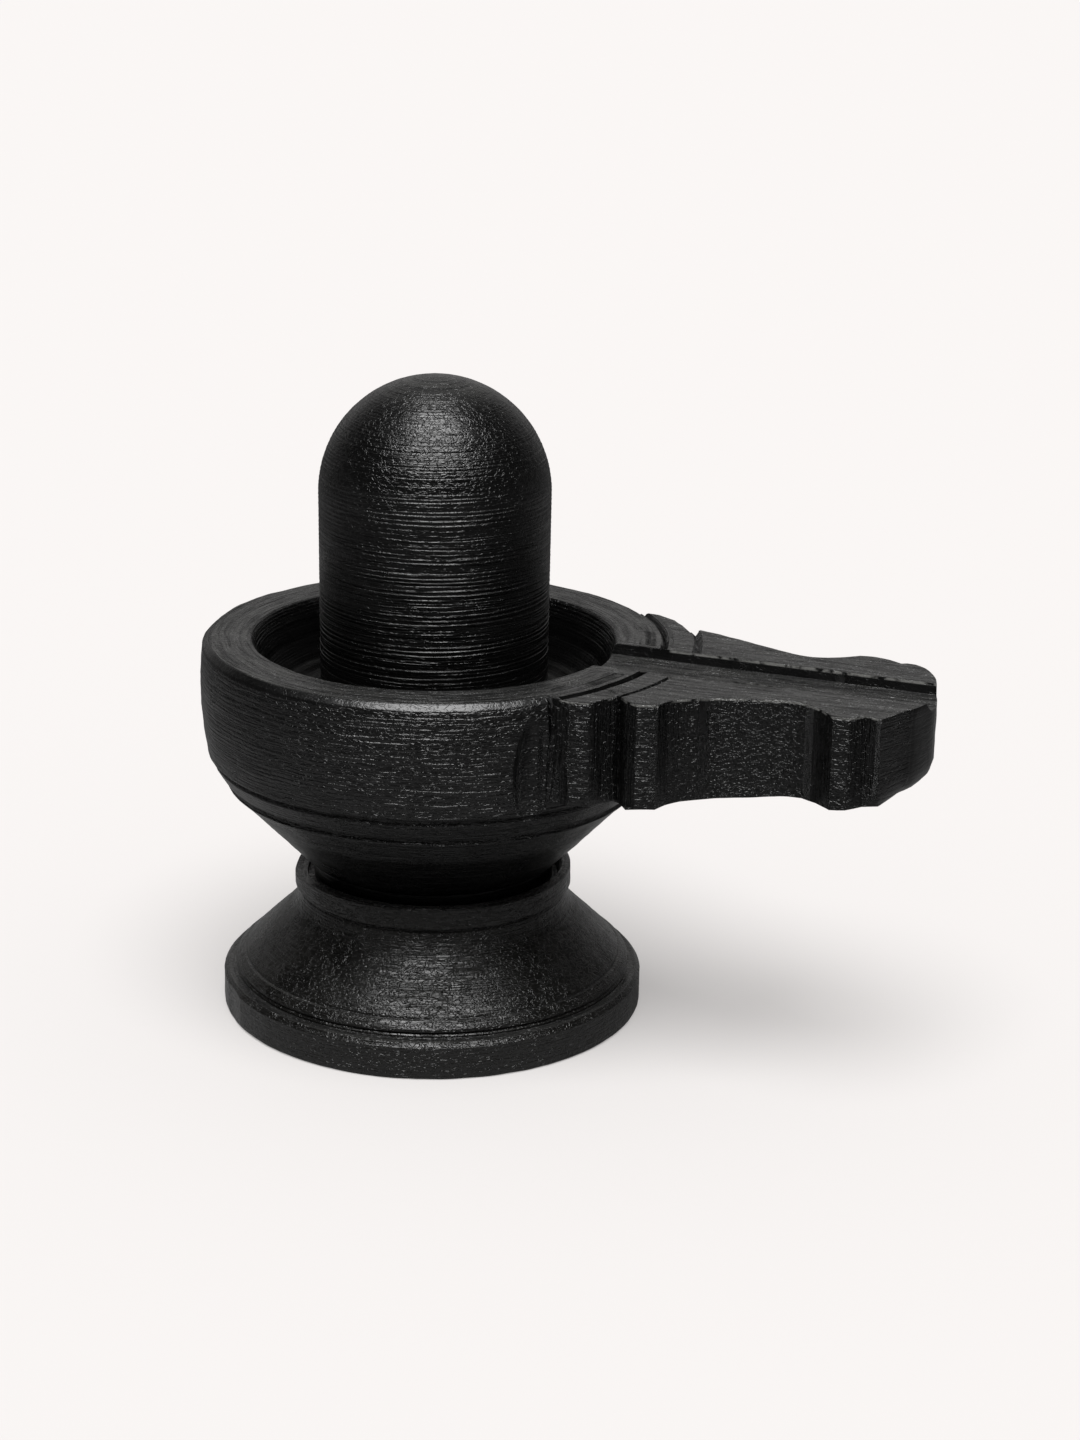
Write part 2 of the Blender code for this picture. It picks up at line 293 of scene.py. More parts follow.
def linear(code):
    """A hex colour as the shader wants it."""
    parts = [int(code[start:start + 2], 16) / 255 for start in (1, 3, 5)]
    return (*[c / 12.92 if c <= 0.04045 else ((c + 0.055) / 1.055) ** 2.4 for c in parts], 1.0)


def add(tree, kind, settings=None, links=None):
    """Add a node. Settings are its properties or inputs, and links are the sockets that feed it."""
    node = tree.nodes.new(kind)
    for name, value in (settings or {}).items():
        if isinstance(name, str) and hasattr(node, name):
            setattr(node, name, value)
        else:
            node.inputs[name].default_value = value
    for name, socket in (links or {}).items():
        tree.links.new(socket, node.inputs[name])
    return node


def new_material(name, roughness, ior):
    material = bpy.data.materials.new(name)
    material.use_nodes = True
    tree = material.node_tree
    shader = tree.nodes["Principled BSDF"]
    shader.inputs["Roughness"].default_value = roughness
    shader.inputs["IOR"].default_value = ior
    return material, tree, shader


# What differs from stone to stone, in mm: how long a score runs before it breaks up, and how deep the
# scores, the crackle and the tool's rings are. slope is +1 where the stone mostly widens upward and -1
# where it narrows, so that scores stay level rings on its slopes.
STONES = {
    "shaft": {"slope": -1.0, "score_length": 28, "score": 0.070, "crackle": 0.060, "ring": 0.22},
    "basin": {"slope": 1.0, "score_length": 16, "score": 0.085, "crackle": 0.080, "ring": 0.14},
    "foot": {"slope": -1.0, "score_length": 28, "score": 0.060, "crackle": 0.100, "ring": 0.05},
}
SCORE_GAP = 1.1
RING_PITCH = 1.0
RING_DROP = 0.30
PATCH_SIZE = 9
GRIT_SIZE = 0.4
BROKEN_EDGE = 2.2

# Where the basin's markings change, each as the two places in mm between which one fades into the other
SPOUT_STARTS_R = (51.3, 52.0)
CHANNEL_STARTS_X = (37.5, 38.5)
CHANNEL_SIDE_Y = (11.2, 10.8)
WAIST_MIDDLE_X = 78
WAIST_HALF_LENGTH = (11.5, 9.5)
NOSE_STARTS_X = (103.0, 104.0)
HOLLOW_MARKS_R = (38.0, 40.0)
# where the hollow's lower shine, a painted shade, fades out
HOLLOW_PAINTED_SHADE_R = (37.5, 40.0)
CHAMFER_R = (47.5, 48.2)
CHAMFER_Z = (RIM_Z - 1.9, RIM_Z - 1.5)
# the band below the rim whose sloping edges get the lighter grey of wear and painted highlight
EDGE_WEAR_AND_HIGHLIGHT_Z = (RIM_Z - 0.60, RIM_Z - 0.40)
HANDLED_X = (30.0, 48.0)

# And the shaft's
TOP_SCORES_Z = (113.0, 123.0)
TOP_CRACKLE_Z = (90.0, 120.0)
# where the shaft foot's lower shine, a painted shade, fades out
SHAFT_PAINTED_SHADE_Z = (71.0, 88.0)


def basin_parts(tree, split, facing, normal, around, radius):
    """Masks over the basin: its tops, the arm beyond the bowl, the channel, and all that was carved."""
    is_top = add(tree, "ShaderNodeMapRange", {"From Min": 0.6, "From Max": 0.8}, {"Value": facing.outputs["Z"]})
    start, end = SPOUT_STARTS_R
    beyond = add(tree, "ShaderNodeMapRange", {"From Min": start * MM, "From Max": end * MM},
                 {"Value": radius.outputs["Value"]})
    # a face that doesn't look straight away from the axis was carved, not turned
    straight_out = add(tree, "ShaderNodeVectorMath", {"operation": "NORMALIZE"}, {0: around.outputs[0]})
    crossed = add(tree, "ShaderNodeVectorMath", {"operation": "CROSS_PRODUCT"},
                  {0: straight_out.outputs[0], 1: normal})
    twisted = add(tree, "ShaderNodeSeparateXYZ", links={0: crossed.outputs[0]})
    askew = add(tree, "ShaderNodeMath", {"operation": "ABSOLUTE"}, {0: twisted.outputs["Z"]})
    carved = add(tree, "ShaderNodeMapRange", {"From Min": 0.30, "From Max": 0.42}, {"Value": askew.outputs[0]})
    off_line = add(tree, "ShaderNodeMath", {"operation": "ABSOLUTE"}, {0: split.outputs["Y"]})
    start, end = CHANNEL_SIDE_Y
    beside = add(tree, "ShaderNodeMapRange", {"From Min": start * MM, "From Max": end * MM},
                 {"Value": off_line.outputs[0]})
    start, end = CHANNEL_STARTS_X
    past_bowl = add(tree, "ShaderNodeMapRange", {"From Min": start * MM, "From Max": end * MM},
                    {"Value": split.outputs["X"]})
    in_channel = add(tree, "ShaderNodeMath", {"operation": "MULTIPLY"},
                     {0: beside.outputs[0], 1: past_bowl.outputs[0]})
    outside = add(tree, "ShaderNodeMath", {"operation": "MAXIMUM"}, {0: beyond.outputs[0], 1: carved.outputs[0]})
    on_spout = add(tree, "ShaderNodeMath", {"operation": "MAXIMUM"},
                   {0: outside.outputs[0], 1: in_channel.outputs[0]})
    return {"is_top": is_top.outputs[0], "beyond": beyond.outputs[0], "in_channel": in_channel.outputs[0],
            "on_spout": on_spout.outputs[0]}


def chisel_strokes(tree, place, split, facing, parts, turned_place, long_way, short_way):
    """The basin's strokes: rings on the bowl, and on the spout the chisel's own directions."""
    # along the spout on top, level on its sides, upright in the corners, and pecked at the waist
    level = add(tree, "ShaderNodeMapping", {"Scale": (long_way, long_way, short_way)}, {"Vector": place})
    lengthwise = add(tree, "ShaderNodeMapping", {"Scale": (long_way, short_way, short_way)}, {"Vector": place})
    upright = add(tree, "ShaderNodeMapping", {"Scale": (short_way, short_way, long_way)}, {"Vector": place})
    pecked = add(tree, "ShaderNodeMapping", {"Scale": (short_way, short_way, short_way)}, {"Vector": place})
    # a corner is where the side turns away from the spout's own slight taper
    skewed = add(tree, "ShaderNodeMath", {"operation": "SUBTRACT", 1: 0.12}, {0: facing.outputs["X"]})
    sideways = add(tree, "ShaderNodeMath", {"operation": "ABSOLUTE"}, {0: skewed.outputs[0]})
    turned_away = add(tree, "ShaderNodeMapRange", {"From Min": 0.23, "From Max": 0.30},
                      {"Value": sideways.outputs[0]})
    start, end = NOSE_STARTS_X
    before_nose = add(tree, "ShaderNodeMapRange",
                      {"From Min": start * MM, "From Max": end * MM, "To Min": 1.0, "To Max": 0.0},
                      {"Value": split.outputs["X"]})
    is_corner = add(tree, "ShaderNodeMath", {"operation": "MULTIPLY"},
                    {0: turned_away.outputs[0], 1: before_nose.outputs[0]})
    from_middle = add(tree, "ShaderNodeMath", {"operation": "SUBTRACT", 1: WAIST_MIDDLE_X * MM},
                      {0: split.outputs["X"]})
    off_middle = add(tree, "ShaderNodeMath", {"operation": "ABSOLUTE"}, {0: from_middle.outputs[0]})
    start, end = WAIST_HALF_LENGTH
    is_waist = add(tree, "ShaderNodeMapRange", {"From Min": start * MM, "From Max": end * MM},
                   {"Value": off_middle.outputs[0]})
    corners = add(tree, "ShaderNodeMix", {"data_type": "VECTOR"},
                  {0: is_corner.outputs[0], 4: level.outputs[0], 5: upright.outputs[0]})
    sides = add(tree, "ShaderNodeMix", {"data_type": "VECTOR"},
                {0: is_waist.outputs[0], 4: corners.outputs[1], 5: pecked.outputs[0]})
    spout = add(tree, "ShaderNodeMix", {"data_type": "VECTOR"},
                {0: parts["is_top"], 4: sides.outputs[1], 5: lengthwise.outputs[0]})
    whole = add(tree, "ShaderNodeMix", {"data_type": "VECTOR"},
                {0: parts["on_spout"], 4: turned_place, 5: spout.outputs[1]})
    return whole.outputs[1]


def basin_wear(tree, split, facing, radius, parts):
    """How much of its marks the basin keeps: less in the hollow, the channel and on the rim's chamfer."""
    start, end = HOLLOW_MARKS_R
    inside = add(tree, "ShaderNodeMapRange",
                 {"From Min": start * MM, "From Max": end * MM, "To Min": 0.35, "To Max": 1.0},
                 {"Value": radius.outputs["Value"]})
    # the channel's steep far wall was rubbed nearly smooth
    in_wall = add(tree, "ShaderNodeMath", {"operation": "SUBTRACT"}, {0: parts["in_channel"], 1: parts["is_top"]})
    calmer = add(tree, "ShaderNodeMapRange", {"To Min": 1.0, "To Max": 0.25}, {"Value": in_wall.outputs[0]})
    inner = add(tree, "ShaderNodeMath", {"operation": "MULTIPLY"}, {0: inside.outputs[0], 1: calmer.outputs[0]})
    # the chamfer is what is high, slopes and lies near the rim's outer edge
    low, high = CHAMFER_Z
    below_rim = add(tree, "ShaderNodeMapRange",
                    {"From Min": low * MM, "From Max": high * MM, "To Min": 1.0, "To Max": 0.0},
                    {"Value": split.outputs["Z"]})
    flat_top = add(tree, "ShaderNodeMapRange", {"From Min": 0.93, "From Max": 0.99},
                   {"Value": facing.outputs["Z"]})
    start, end = CHAMFER_R
    nearer = add(tree, "ShaderNodeMapRange",
                 {"From Min": start * MM, "From Max": end * MM, "To Min": 1.0, "To Max": 0.0},
                 {"Value": radius.outputs["Value"]})
    off_chamfer = below_rim.outputs[0]
    for mask in (flat_top.outputs[0], nearer.outputs[0], parts["beyond"]):
        off_chamfer = add(tree, "ShaderNodeMath", {"operation": "MAXIMUM"}, {0: off_chamfer, 1: mask}).outputs[0]
    smoothed = add(tree, "ShaderNodeMapRange", {"To Min": 0.35, "To Max": 1.0}, {"Value": off_chamfer})
    return add(tree, "ShaderNodeMath", {"operation": "MULTIPLY"},
               {0: inner.outputs[0], 1: smoothed.outputs[0]}).outputs[0]


def tool_rings(tree, run, turned_place, depth):
    """The turning tool's rings: each climbs slowly and drops fast, wanders and breaks up."""
    drift = add(tree, "ShaderNodeTexNoise", {"Scale": 0.25, "Detail": 2.0}, {"Vector": turned_place})
    drifted = add(tree, "ShaderNodeMath", {"operation": "MULTIPLY", 1: 2.0}, {0: drift.outputs[0]})
    ring = add(tree, "ShaderNodeMath", {"operation": "MULTIPLY_ADD", 1: 1 / (RING_PITCH * MM)},
               {0: run, 2: drifted.outputs[0]})
    along = add(tree, "ShaderNodeMath", {"operation": "FRACT"}, {0: ring.outputs[0]})
    climb = add(tree, "ShaderNodeMath", {"operation": "MULTIPLY", 1: 1 / (1 - RING_DROP)}, {0: along.outputs[0]})
    left = add(tree, "ShaderNodeMath", {"operation": "SUBTRACT", 0: 1.0}, {1: along.outputs[0]})
    fall = add(tree, "ShaderNodeMath", {"operation": "MULTIPLY", 1: 1 / RING_DROP}, {0: left.outputs[0]})
    tooth = add(tree, "ShaderNodeMath", {"operation": "MINIMUM"}, {0: climb.outputs[0], 1: fall.outputs[0]})
    breaks = add(tree, "ShaderNodeTexNoise", {"Scale": 0.7, "Detail": 4.0}, {"Vector": turned_place})
    kept = add(tree, "ShaderNodeMapRange",
               {"From Min": 0.38, "From Max": 0.60, "To Min": 0.15 * depth, "To Max": depth},
               {"Value": breaks.outputs[0]})
    return add(tree, "ShaderNodeMath", {"operation": "MULTIPLY"},
               {0: tooth.outputs[0], 1: kept.outputs[0]}).outputs[0]


def black_stone(name, part):
    """Dense black stone, turned, then rubbed with oil.

    It looks near black with a soft sheen. The turning leaves rings and thin broken scores that catch the
    light, the chisel a crackled net between them, and handling leaves the flat tops a dusty grey.
    """
    stone = STONES[part]
    material, tree, shader = new_material(name, 0.36, 1.55)
    coordinates = add(tree, "ShaderNodeTexCoord")
    place = coordinates.outputs["Object"]
    split = add(tree, "ShaderNodeSeparateXYZ", links={0: place})
    facing = add(tree, "ShaderNodeSeparateXYZ", links={0: coordinates.outputs["Normal"]})
    around = add(tree, "ShaderNodeVectorMath", {"operation": "MULTIPLY", 1: (1, 1, 0)}, {0: place})
    radius = add(tree, "ShaderNodeVectorMath", {"operation": "LENGTH"}, {0: around.outputs[0]})
    run = add(tree, "ShaderNodeMath", {"operation": "MULTIPLY_ADD", 1: stone["slope"]},
              {0: radius.outputs["Value"], 2: split.outputs["Z"]})

    # scores are streaks: long round the axis, and close together up the profile
    long_way, short_way = 1 / (stone["score_length"] * MM), 1 / (SCORE_GAP * MM)
    flat = add(tree, "ShaderNodeVectorMath", {"operation": "SCALE", "Scale": long_way}, {0: around.outputs[0]})
    tall = add(tree, "ShaderNodeMath", {"operation": "MULTIPLY", 1: short_way}, {0: run.outputs[0]})
    lift = add(tree, "ShaderNodeCombineXYZ", links={2: tall.outputs[0]})
    summed = add(tree, "ShaderNodeVectorMath", {"operation": "ADD"}, {0: flat.outputs[0], 1: lift.outputs[0]})
    turned_place = summed.outputs[0]
    strokes = turned_place
    if part == "basin":
        parts = basin_parts(tree, split, facing, coordinates.outputs["Normal"], around, radius)
        strokes = chisel_strokes(tree, place, split, facing, parts, turned_place, long_way, short_way)

    # how much of the scores and of the crackle is left: on the foot it varies in patches
    patches = add(tree, "ShaderNodeTexNoise", {"Scale": 1 / (PATCH_SIZE * MM), "Detail": 2.0}, {"Vector": place})
    if part == "foot":
        rubbed = add(tree, "ShaderNodeMapRange",
                     {"From Min": 0.35, "From Max": 0.62, "To Min": 0.65, "To Max": 1.0},
                     {"Value": patches.outputs[0]})
        scores_left = crackle_left = rubbed.outputs[0]
    if part == "shaft":
        low, high = TOP_SCORES_Z
        scored = add(tree, "ShaderNodeMapRange",
                     {"From Min": low * MM, "From Max": high * MM, "To Min": 1.0, "To Max": 0.30},
                     {"Value": split.outputs["Z"]})
        low, high = TOP_CRACKLE_Z
        crackled = add(tree, "ShaderNodeMapRange",
                       {"From Min": low * MM, "From Max": high * MM, "To Min": 0.7, "To Max": 1.0},
                       {"Value": split.outputs["Z"]})
        scores_left, crackle_left = scored.outputs[0], crackled.outputs[0]
    if part == "basin":
        scores_left = crackle_left = basin_wear(tree, split, facing, radius, parts)

    # each score and each crack is a thin V where its noise crosses the middle
    squash = add(tree, "ShaderNodeMapping", {"Scale": (1 / (1.7 * MM), 1 / (1.7 * MM), 1 / (1.2 * MM))},
                 {"Vector": place})
    height = None
    for where, scale, detail, twist, half_width, depth, left in (
        (strokes, 1.0, 1.0, 0.0, 0.090, stone["score"], scores_left),
        (strokes, 2.3, 1.0, 0.0, 0.120, stone["score"] * 0.45, scores_left),
        (squash.outputs[0], 1.3, 1.2, 0.8, 0.090, stone["crackle"], crackle_left),
    ):
        cloud = add(tree, "ShaderNodeTexNoise",
                    {"Scale": scale, "Detail": detail, "Roughness": 0.55, "Distortion": twist}, {"Vector": where})
        centred = add(tree, "ShaderNodeMath", {"operation": "SUBTRACT", 1: 0.5}, {0: cloud.outputs[0]})
        folded = add(tree, "ShaderNodeMath", {"operation": "ABSOLUTE"}, {0: centred.outputs[0]})
        crack = add(tree, "ShaderNodeMapRange", {"From Max": half_width, "To Max": depth},
                    {"Value": folded.outputs[0]})
        worn = add(tree, "ShaderNodeMath", {"operation": "MULTIPLY"}, {0: crack.outputs[0], 1: left})
        if height:
            height = add(tree, "ShaderNodeMath", {"operation": "ADD"}, {0: height.outputs[0], 1: worn.outputs[0]})
        else:
            height = worn

    # the rings fade where the scores do, and the carved parts have none
    rings = tool_rings(tree, run.outputs[0], turned_place, stone["ring"])
    fades = []
    if part == "shaft":
        fades = [scores_left]
    if part == "basin":
        on_bowl = add(tree, "ShaderNodeMapRange", {"To Min": 1.0, "To Max": 0.0}, {"Value": parts["on_spout"]})
        fades = [on_bowl.outputs[0], scores_left]
    for fade in fades:
        rings = add(tree, "ShaderNodeMath", {"operation": "MULTIPLY"}, {0: rings, 1: fade}).outputs[0]
    height = add(tree, "ShaderNodeMath", {"operation": "ADD"}, {0: height.outputs[0], 1: rings})
    grit = add(tree, "ShaderNodeTexNoise", {"Scale": 1 / (GRIT_SIZE * MM), "Detail": 1.0}, {"Vector": place})
    height = add(tree, "ShaderNodeMath", {"operation": "MULTIPLY_ADD", 1: 0.02},
                 {0: grit.outputs[0], 2: height.outputs[0]})
    bump = add(tree, "ShaderNodeBump", {"Strength": 1.0, "Distance": MM}, {"Height": height.outputs[0]})
    tree.links.new(bump.outputs[0], shader.inputs["Normal"])

    # near black, a little greyer in patches and browner on the foot, with streaky dust on flat tops
    greyer = "#0d0c09" if part == "foot" else "#050505"
    mottle = add(tree, "ShaderNodeMix", {"data_type": "RGBA", 6: linear("#020202"), 7: linear(greyer)},
                 {0: patches.outputs[0]})
    top = add(tree, "ShaderNodeMapRange", {"From Min": 0.80, "From Max": 0.98}, {"Value": facing.outputs["Z"]})
    dust_lines = add(tree, "ShaderNodeTexNoise", {"Scale": 1.2, "Detail": 3.0, "Roughness": 0.65},
                     {"Vector": strokes})
    streaks = add(tree, "ShaderNodeMapRange", {"From Min": 0.40, "From Max": 0.60},
                  {"Value": dust_lines.outputs[0]})
    dust = add(tree, "ShaderNodeMix", {"data_type": "RGBA", 6: linear("#131313"), 7: linear("#282827")},
               {0: streaks.outputs[0]})
    colour = add(tree, "ShaderNodeMix", {"data_type": "RGBA"},
                 {0: top.outputs[0], 6: mottle.outputs[2], 7: dust.outputs[2]})
    if part == "basin":
        # the narrow slope along the spout's top edges is painted a lighter grey in broken lengths: partly bare worn
        # stone, partly a painted highlight where those edges catch the light
        not_top = add(tree, "ShaderNodeMapRange", {"From Min": 0.97, "From Max": 0.90},
                      {"Value": facing.outputs["Z"]})
        low, high = EDGE_WEAR_AND_HIGHLIGHT_Z
        near_rim = add(tree, "ShaderNodeMapRange", {"From Min": low * MM, "From Max": high * MM},
                       {"Value": split.outputs["Z"]})
        broken = add(tree, "ShaderNodeTexNoise", {"Scale": 1 / (BROKEN_EDGE * MM), "Detail": 2.0},
                     {"Vector": place})
        lengths = add(tree, "ShaderNodeMapRange", {"From Min": 0.36, "From Max": 0.50},
                      {"Value": broken.outputs[0]})
        sloping = add(tree, "ShaderNodeMath", {"operation": "ABSOLUTE"}, {0: facing.outputs["Y"]})
        from_side = add(tree, "ShaderNodeMapRange", {"From Min": 0.58, "From Max": 0.72},
                        {"Value": sloping.outputs[0]})
        edge_wear_and_painted_highlight = lengths.outputs[0]
        for mask in (not_top.outputs[0], near_rim.outputs[0], from_side.outputs[0], parts["beyond"]):
            edge_wear_and_painted_highlight = add(tree, "ShaderNodeMath", {"operation": "MULTIPLY"}, {0: edge_wear_and_painted_highlight, 1: mask}).outputs[0]
        # the lighter grey is partly wear and partly a painted highlight on the edge
        colour = add(tree, "ShaderNodeMix", {"data_type": "RGBA", 7: linear("#5a5a58")},
                     {0: edge_wear_and_painted_highlight, 6: colour.outputs[2]})
    tree.links.new(colour.outputs[2], shader.inputs["Base Color"])

    # painted shade: the shaft's foot and the bowl's hollow get less shine, darkening them where the rim and the
    # hollow's walls shade them; the flat tops shine in streaks
    if part == "shaft":
        low, high = SHAFT_PAINTED_SHADE_Z
        dull = add(tree, "ShaderNodeMapRange",
                   {"From Min": low * MM, "From Max": high * MM, "To Min": 0.12, "To Max": 0.5},
                   {"Value": split.outputs["Z"]})
        tree.links.new(dull.outputs[0], shader.inputs["Specular IOR Level"])
    if part == "basin":
        # the hollow's lower shine is painted shade
        start, end = HOLLOW_PAINTED_SHADE_R
        dull = add(tree, "ShaderNodeMapRange",
                   {"From Min": start * MM, "From Max": end * MM, "To Min": 0.22, "To Max": 0.5},
                   {"Value": radius.outputs["Value"]})
        streaked = add(tree, "ShaderNodeMapRange", {"To Min": 0.50, "To Max": 1.50},
                       {"Value": streaks.outputs[0]})
        # hands and cloths keep the spout's end brighter than the rim
        start, end = HANDLED_X
        handled = add(tree, "ShaderNodeMapRange",
                      {"From Min": start * MM, "From Max": end * MM, "To Min": 0.72, "To Max": 1.0},
                      {"Value": split.outputs["X"]})
        finish = add(tree, "ShaderNodeMath", {"operation": "MULTIPLY"},
                     {0: streaked.outputs[0], 1: handled.outputs[0]})
        of_top = add(tree, "ShaderNodeMix", {"data_type": "FLOAT", 2: 1.0},
                     {0: top.outputs[0], 3: finish.outputs[0]})
        shine = add(tree, "ShaderNodeMath", {"operation": "MULTIPLY"}, {0: dull.outputs[0], 1: of_top.outputs[0]})
        tree.links.new(shine.outputs[0], shader.inputs["Specular IOR Level"])
    gloss = add(tree, "ShaderNodeMapRange",
                {"From Min": 0.3, "From Max": 0.7, "To Min": 0.26, "To Max": 0.32}, {"Value": patches.outputs[0]})
    tree.links.new(gloss.outputs[0], shader.inputs["Roughness"])
    return material


# The lingam

def make_lingam():
    """The shaft: straight sides, a round top, and turning rings, each a crest and a hollow above it."""
    foot = SEAT_Z + 0.3
    centre = LINGAM_TOP_Z - LINGAM_R
    straight = centre - foot
    whole = straight + math.pi / 2 * LINGAM_R
    round_top = straight + 14
    # rings are widest and deepest on the lowest 12 mm, and even out by 38 mm up
    deepest, evened = 12, 38
    trough = 0.26

    def on_side(run):
        """The place and the outward direction at this length up the side from the foot."""
        if run < straight:
            radius = LINGAM_FOOT_R + (LINGAM_R - LINGAM_FOOT_R) * run / straight
            return Vector((radius, foot + run)), Vector((1, 0))
        angle = (run - straight) / LINGAM_R
        outward = Vector((math.cos(angle), math.sin(angle)))
        return Vector((0, centre)) + outward * LINGAM_R, outward

    profile = [(0.0, foot), (LINGAM_FOOT_R - 0.4, foot)]
    run = 0.4
    ring = 0
    while run < whole - 0.5:
        low = max(0.0, min(1.0, (evened - run) / (evened - deepest)))
        wider = 1 + 0.5 * noise.noise(Vector((ring * 1.37, 3.3, 0.0)))
        deeper = max(0.25, 1 + 1.1 * noise.noise(Vector((ring * 1.73, 8.8, 0.0))))
        pitch = (0.95 + 0.5 * low) * wider
        hollow = (0.045 + 0.095 * low) * deeper
        shares = (0, 0.07, 0.15, trough, 0.48, 0.75)
        if run > round_top:
            pitch, hollow, shares = 0.7, 0.012 * (1 - (run - straight - 14) / 26), (0, 0.5)
        for share in shares:
            reach = (share - trough) / (trough if share < trough else 1 - trough)
            place, outward = on_side(min(whole, run + pitch * share))
            moved = place - outward * hollow * (1 - reach * reach)
            profile.append((max(0.0, moved.x), moved.y))
        run += pitch
        ring += 1
    profile.append((0.0, LINGAM_TOP_Z))
    piece = turned("lingam_stone", profile, 224)
    uneven(piece, 1.3, 0.10)
    return piece


# The basin. Outlines are seen from above and go counterclockwise, and right is right looking down the spout.

SHOULDER_RIGHT = [(38.4, -31.7), (43.3, -33.0), (46.95, -32.3), (48.7, -29.0), (50.7, -26.6)]
SHOULDER_LEFT = [(50.4, 24.6), (47.6, 28.5), (44.8, 31.7), (40.5, 34.0), (36.6, 34.5), (36.1, 33.0)]
PETAL_RIGHT = [(51.4, -26.0), (52.9, -28.0), (56.0, -29.8), (60.0, -28.4)]
WAIST_RIGHT = [(61.2, -25.3), (63.4, -22.8), (66.8, -20.8), (70.1, -19.1), (74.1, -17.7), (78.1, -16.7),
               (81.7, -15.7), (84.5, -15.2), (87.3, -15.6)]
HEAD_RIGHT = [(91.0, -18.0), (94.7, -21.8), (98.0, -21.4), (100.7, -18.6)]
NOSE = [(104.1, -19.7), (106.0, -15.8), (107.5, -12.4), (108.9, -10.1), (110.1, -6.4), (111.0, -2.0),
        (110.5, 2.7), (109.5, 6.7), (108.3, 11.1), (106.5, 15.0), (104.4, 17.9)]
HEAD_LEFT = [(102.1, 19.6), (100.2, 20.0), (99.0, 19.2), (96.2, 20.6), (92.6, 21.8), (89.5, 21.2)]
WAIST_LEFT = [(85.8, 18.5), (81.9, 16.4), (77.6, 16.5), (72.6, 18.3), (67.5, 20.3), (62.4, 22.6)]
PETAL_LEFT = [(57.2, 24.9), (52.3, 26.3), (51.3, 23.8)]
# the two corners whose facets flare at the foot
SHOULDER_FLARE = SHOULDER_RIGHT[1]
PETAL_FLARE = PETAL_RIGHT[2]

# Curved grooves in the tops: radius, start and end in degrees, width, depth, and x of the curve's centre
GROOVES = (
    (52.6, -37.0, -8.0, 2.0, 2.1, -1.8),
    (50.1, 10.5, 43.6, 1.7, 1.5, 0.0),
    (57.3, -27.6, -9.4, 1.1, 1.0, 0.0),
    (57.3, 9.4, 26.2, 2.0, 1.1, 0.0),
)
# Upright V-notches between bowl and shoulder: x and y of the valley, and where its two sides lead
NOTCHES = ((37.4, -31.9, -52, -12), (34.9, 34.0, 52, 85))


def inner_arc(half_width):
    """The block's end inside the bowl's wall, from left to right."""
    radius = 44.75
    limit = math.asin(half_width / radius)
    angles = [limit - limit * step / 6 for step in range(13)]
    return [(radius * math.cos(angle), radius * math.sin(angle)) for angle in angles]


def make_bowl():
    """The bowl turned alone: a dished hollow, a rounded rim, a swelling wall, a cone and the tenon."""
    seat = [(0.0, SEAT_Z, 0), (25.0, SEAT_Z, 0.2), (25.0, BASIN_FLOOR_Z, 0.3)]
    hollow = [
        (27.6, BASIN_FLOOR_Z + 0.25, 0.8), (30.8, BASIN_FLOOR_Z + 1.2, 1.0), (34.0, BASIN_FLOOR_Z + 3.3, 1.0),
        (36.6, BASIN_FLOOR_Z + 6.9, 1.0), (38.2, BASIN_FLOOR_Z + 11.1, 1.0),
    ]
    rim = [(39.5, RIM_Z, 0.7), (48.8, RIM_Z, 0.35), (50.1, RIM_Z - 1.3, 0.5)]
    wall = [(50.45, 80.0, 1.0), (50.75, 75.0, 1.5), (50.5, 69.0, 1.5), (50.0, 63.5, 1.5)]
    grooves_below = [
        (49.3, 59.3, 0.4), (48.0, 58.5, 0.2), (48.3, 57.6, 0.25), (46.3, 54.2, 0.3),
        (45.0, 53.3, 0.2), (45.35, 52.3, 0.3), (44.0, 51.2, 0.2),
    ]
    neck = [(28.1, 34.75, 0.1), (26.5, 33.9, 0.2), (26.4, 29.3, 0.1)]
    tenon = [(25.0, 29.2, 0.1), (25.0, 24.32, 0.2), (0.0, 24.32, 0)]

    def depth(run, radius, height):
        if height > RIM_Z - 0.6 or radius < 25.5:
            return 0.0
        if height > BASIN_FLOOR_Z and radius < 40:
            return 0.08 * chatter(run, 2.6, 5.7)
        return 0.035 * chatter(run, 2.6, 9.2)

    corners = seat + hollow + rim + wall + grooves_below + neck + tenon
    points = rounded(corners, 0.8, lambda start, end: max(start.x, end.x) < 25.3)
    return turned("basin_stone", ringed(points, depth), 192)


def make_shoulder():
    """The step carved against the bowl on both sides; its right facet flares at the foot."""
    buried_end = [(53.0, -18.4), (53.0, 18.4)]
    piece = block("shoulder", SHOULDER_RIGHT + buried_end + SHOULDER_LEFT + inner_arc(26.8), 61.6, RIM_Z)
    flare_z = 71
    edit(piece)
    bpy.ops.mesh.select_all(action="SELECT")
    bpy.ops.mesh.bisect(plane_co=(0, 0, flare_z * MM), plane_no=(0, 0, 1))
    select_where(piece, lambda x, y, z: stands_on(SHOULDER_FLARE, x, y) and z < 64)
    bpy.ops.transform.translate(value=(-2.4 * MM, -0.2 * MM, 0))
    select_where(piece, lambda x, y, z: stands_on(SHOULDER_FLARE, x, y) and abs(z - flare_z) < 1)
    bpy.ops.transform.translate(value=(-0.5 * MM, 0, 0))
    done()
    soften(piece, lambda x, y, z: z < 64 and abs(y) > 20, 1.0, 3)
    soften(piece, lambda x, y, z: z > 64 and abs(y) > 20, 0.45, level=False)
    soften(piece, lambda x, y, z: z > 84 and abs(y) > 20, 0.42, level=True)
    return piece


